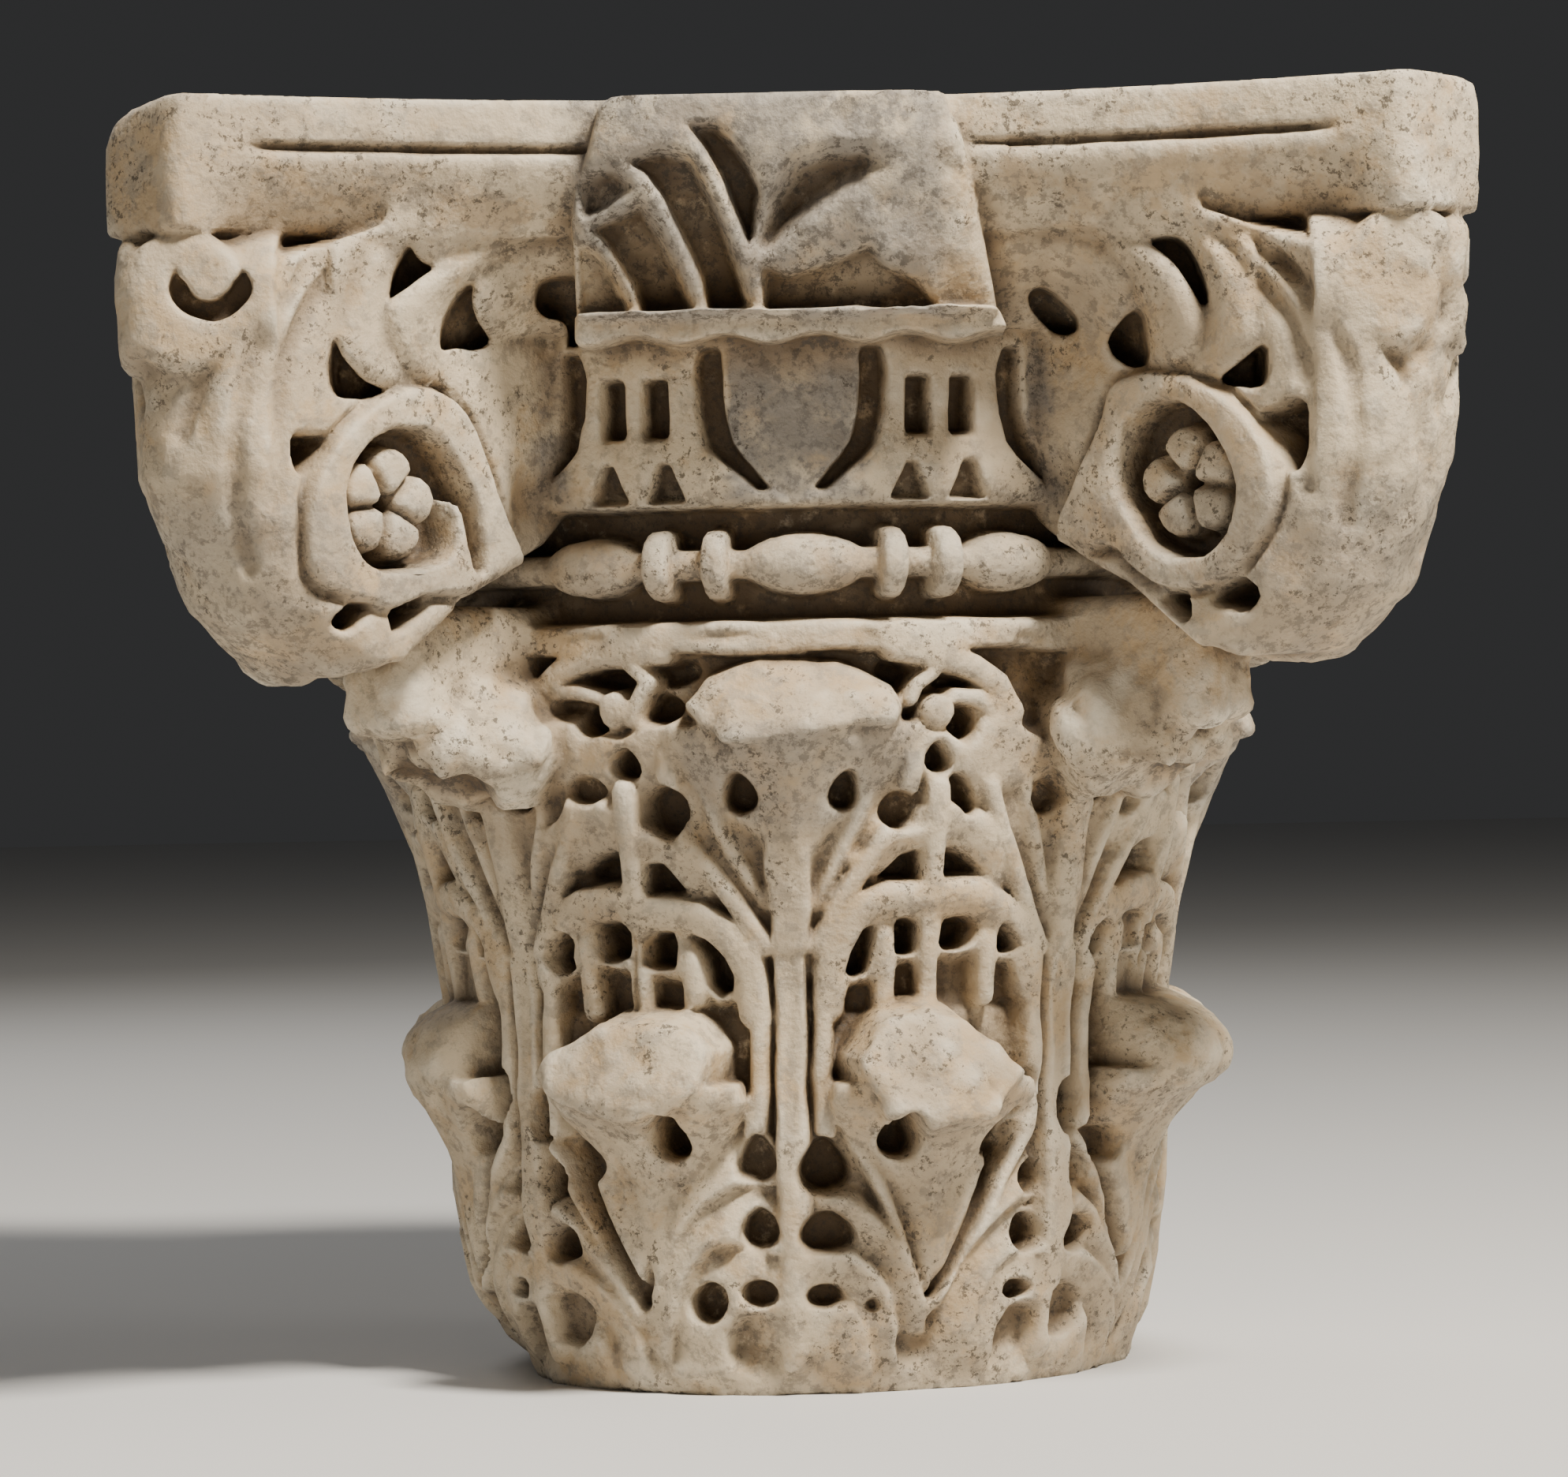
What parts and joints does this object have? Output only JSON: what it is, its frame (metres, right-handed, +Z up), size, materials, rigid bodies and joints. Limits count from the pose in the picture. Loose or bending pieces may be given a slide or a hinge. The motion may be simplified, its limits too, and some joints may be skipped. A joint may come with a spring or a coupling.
{
  "type": "marble capital",
  "caption": "Carved marble column capital: acanthus leaf bell, bead and egg rings, corner volutes, side fleurons and a hollow-sided abacus, worn and chipped.",
  "frame": {"origin": "centre of the flat round underside, where the capital sits on its column shaft", "axes": "+Z up along the column axis to the flat top bed, the pictured side faces -Y, +X to the right of that side"},
  "size_m": [0.445, 0.445, 0.43],
  "materials": {
    "marble": "weathered ivory marble, matt, with grey and ochre patina"
  },
  "bodies": {
    "root": {"capital": "marble"}
  },
  "joints": []
}
